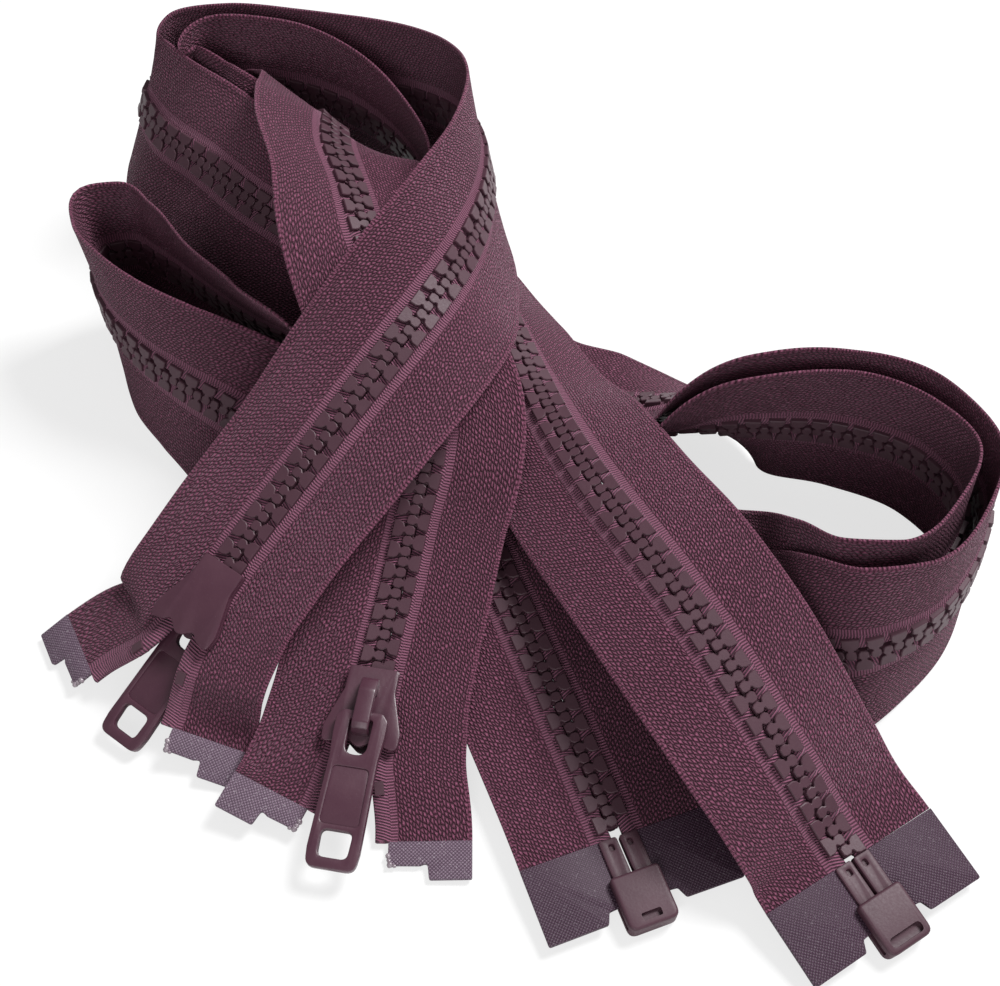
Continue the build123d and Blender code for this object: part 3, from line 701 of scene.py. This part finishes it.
# ---------------------------------------------------------------- film ends
def film_strip(name, outline, place, material):
    """A stiff film end, cut to its outline, with the map of width and length that tapes have."""
    mesh = plate([outline], FILM_THICKNESS / MM, 0.12)
    layer = mesh.uv_layers.new(name="weave")
    for loop in mesh.loops:
        x, y, _ = mesh.vertices[loop.vertex_index].co
        layer.data[loop.index].uv = (abs(y), x)
    mesh.transform(place)
    return new_object(name, mesh, material, 40)


def bead(name, places, radius, material):
    """Small lumps of melted filament, joined in one piece."""
    work = bmesh.new()
    for i, place in enumerate(places):
        size = radius * (1 - 0.16 * (i % 3))
        lump = bmesh.ops.create_icosphere(work, subdivisions=3, radius=size)
        for vert in lump["verts"]:
            wobble = 1 + 0.14 * sin(vert.co.x * 5200 + i) * cos(vert.co.y * 4700 + 2 * i)
            vert.co = Vector(place) + vert.co * wobble
    mesh = bpy.data.meshes.new(name)
    work.to_mesh(mesh)
    work.free()
    return new_object(name, mesh, material, 0)


# ---------------------------------------------------------------- the two zippers
def build_zipper(name, body, route, flip, tails, pivot, opens, slot_window):
    """One zipper. Its tapes and teeth are split at pivot, a place along the chain. The opens
    argument is not used.
    """
    seat = route.seat(0, flip)
    film_start = route.length - BOTTOM_FILM
    for side, label in ((1, "left"), (-1, "right")):
        tail_body = f"{body}_tail_{label}"
        bend_from = Vector(route.at(pivot - 1 * MM)[0][0])
        bend_to = Vector(route.at(opens)[0][0])

        # The closed chain's tape, from the slider's last place to the film at the box
        runs = np.arange(pivot, film_start, WEAVE_STEP)
        runs = np.append(runs[:-1], film_start)
        rows = edge_rows(route, runs, side, TAPE_EDGE)
        long_tape = lay_tape(f"{name}_{label}_tape", 0.0, *rows, runs)
        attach(long_tape, "base")
        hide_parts(*[f"{name}_tape_{label}_{part}"
                                 for part in ("upper", "coil", "loop", "lower", "bottom")])

        # The tape that the slider opens, with its loose tail
        joint, before, across, _, _ = [row[0] for row in route.at(0)]
        points = [tuple(np.array(p[:3]) + PILE_SHIFT / MM) + p[3:] for p in tails[label]]
        for back, apart in TAIL_ENTRY:
            spot = joint / MM - before * back + across * side * (TAPE_EDGE / MM + apart)
            points.append(tuple(spot) + (SLIDER_TILT,))
        tail = Route(points, np.zeros(3))
        tail_runs = np.arange(TOP_FILM, tail.length - 3 * MM, WEAVE_STEP)
        chain_runs = np.append(np.arange(1.5 * MM, pivot - 0.5 * MM, WEAVE_STEP), pivot)
        first = edge_rows(tail, tail_runs, side, 0)
        second = edge_rows(route, chain_runs, side, TAPE_EDGE)
        edge, outwards, normal = [np.vstack(pair) for pair in zip(first, second)]
        # The step where the tail meets the chain is smoothed
        middle = slice(len(tail_runs) - 6, len(tail_runs) + 6)
        for _ in range(3):
            for values in (edge, outwards, normal):
                total = np.roll(values, 1, 0) + values + np.roll(values, -1, 0)
                values[middle] = total[middle] / 3
        outwards = unit(outwards)
        normal = unit(normal)
        run = np.concatenate([[0], np.cumsum(np.linalg.norm(np.diff(edge, axis=0), axis=1))])
        short_tape = lay_tape(f"{name}_{label}_open_tape", pivot - run[-1],
                              edge, outwards, normal, run)
        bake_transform(short_tape)
        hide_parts(f"{name}_{label}_tail", f"{name}_tape_{label}_top")

        # Teeth
        row = tooth_row(f"{name}_{label}_teeth", route, side, pivot, film_start - 1 * MM)
        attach(row, "base")
        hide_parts(f"{name}_teeth_{label}")
        row = tooth_row(f"{name}_{label}_open_teeth", route, side, 0, pivot)
        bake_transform(row)
        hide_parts(f"{name}_teeth_{label}_top")

        # Film ends
        out_mm = TAPE_WIDTH / MM
        outline = rounded([(0, 0, 0.2), (0, side * out_mm, 0.2), (-6.2, side * out_mm, 0.3),
                           (-6.2, side * 6.5, 0.4), (-3.5, side * 6.2, 0.5),
                           (-3.9, side * 5.0, 0.6), (-3.8, 0, 0.3)], 3)
        end_frame = tail.seat(TOP_FILM)
        film = film_strip(f"{name}_{label}_tail_end", outline, end_frame, PALE_FILM)
        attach(film, tail_body)
        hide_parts(f"{name}_{label}_tail_film")
        spots = [end_frame @ Vector((-x * MM, side * y * MM, 0.1 * MM))
                 for x, y in ((3.7, 0.3), (3.0, 0.2), (3.9, 1.0), (2.3, 0.1))]
        drop = bead(f"{name}_{label}_tail_bead", spots, 0.5 * MM, BEAD)
        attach(drop, tail_body)

        end_frame = route.seat(route.length)
        edge_mm = TAPE_EDGE / MM
        side_mm = side * (edge_mm + out_mm)
        outline = rounded([(-2.1, side * edge_mm, 0.1), (-1.9, side * 5.7, 0.5),
                           (-0.1, side * 6.5, 0.5), (0, side_mm, 0.4), (-12.5, side_mm, 0.1),
                           (-12.5, side * edge_mm, 0.1)], 3)
        film = film_strip(f"{name}_{label}_bottom_end", outline, end_frame, FILM)
        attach(film, "base")
        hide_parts(f"{name}_bottom_film_{label}")

    slider = new_object(f"{name}_slider", slider_body(seat), ENAMEL, 40)
    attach(slider, f"{body}_slider")
    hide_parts(f"{name}_slider_body")
    bridge = new_object(f"{name}_bridge", slider_bridge(seat), ENAMEL, 40)
    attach(bridge, f"{body}_slider")
    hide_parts(f"{name}_slider_bridge")
    pull = new_object(f"{name}_pull", pull_tab(seat), ENAMEL, 40)
    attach(pull, f"{body}_pull")
    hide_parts(f"{name}_pull_tab")

    end_frame = route.seat(route.length)
    box = new_object(f"{name}_bottom_box", box_body(end_frame, slot_window), RESIN, 40)
    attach(box, "base")
    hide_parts(f"{name}_box")
    for side, label in ((-1, "box_pin"), (1, "insertion_pin")):
        pin = new_object(f"{name}_{label}_bar", pin_body(end_frame, side), RESIN, 40)
        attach(pin, "base")
        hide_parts(f"{name}_{label}")


zipper_1 = Route(ROUTE_1)
zipper_2 = Route(ROUTE_2)
build_zipper("zipper_1", "z1", zipper_1, flip=True,
             tails={"left": TAIL_1_LEFT, "right": TAIL_1_RIGHT},
             pivot=46 * MM, opens=18 * MM, slot_window=False)
build_zipper("zipper_2", "z2", zipper_2, flip=False,
             tails={"left": TAIL_2_LEFT, "right": TAIL_2_RIGHT},
             pivot=31 * MM, opens=8 * MM, slot_window=True)
bpy.data.objects.remove(TOOTH)

for node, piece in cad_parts.items():
    if not piece.hide_render:
        piece.data.materials.clear()
        piece.data.materials.append(RESIN)


# ---------------------------------------------------------------- floor, light and camera
def floor():
    g = Graph("floor")
    g.surface.inputs["Base Color"].default_value = rgba(0.9, 0.9, 0.9)
    g.surface.inputs["Roughness"].default_value = 0.9
    glow = g.add("ShaderNodeEmission", None, {"Color": rgba(1, 1, 1), "Strength": 1.0})
    seen = g.add("ShaderNodeLightPath", output="Is Camera Ray")
    plain = Value(g, g.surface.outputs[0])
    blend = g.add("ShaderNodeMixShader", None, {0: seen * 0.72, 1: plain, 2: glow})
    g.tree.links.new(blend.socket, g.tree.nodes["Material Output"].inputs[0])
    mesh = bpy.data.meshes.new("floor")
    mesh.from_pydata([(-4, -4, 0), (4, -4, 0), (4, 4, 0), (-4, 4, 0)], [], [(0, 1, 2, 3)])
    piece = new_object("floor", mesh, g.material, 0)


def lamp(name, place, size, power, aim=(0, 0, 0.015)):
    light = bpy.data.lights.new(name, "AREA")
    light.size = size
    light.energy = power
    piece = bpy.data.objects.new(name, light)
    piece.location = place
    piece.rotation_euler = (Vector(aim) - Vector(place)).to_track_quat("-Z", "Y").to_euler()
    bpy.context.scene.collection.objects.link(piece)


floor()
lamp("key", (0.42, 0.28, 0.7), 0.3, 10.5)
lamp("front", (-0.1, -0.75, 0.45), 0.5, 3.0)
world = bpy.data.worlds.new("studio")
world.use_nodes = True
world.node_tree.nodes["Background"].inputs["Color"].default_value = rgba(1, 1, 1)
world.node_tree.nodes["Background"].inputs["Strength"].default_value = 0.26
bpy.context.scene.world = world

camera = bpy.data.objects.new("camera", bpy.data.cameras.new("camera"))
bpy.context.scene.collection.objects.link(camera)
look_at = Vector(PILE_SHIFT)
camera.location = look_at + Vector((0, -0.1724, 0.2206))
camera.rotation_euler = (look_at - camera.location).to_track_quat("-Z", "Y").to_euler()
camera.data.lens = 54
camera.data.sensor_width = 36
camera.data.clip_start = 0.01
camera.data.clip_end = 50
bpy.context.scene.camera = camera
bpy.context.scene.view_settings.view_transform = "Standard"
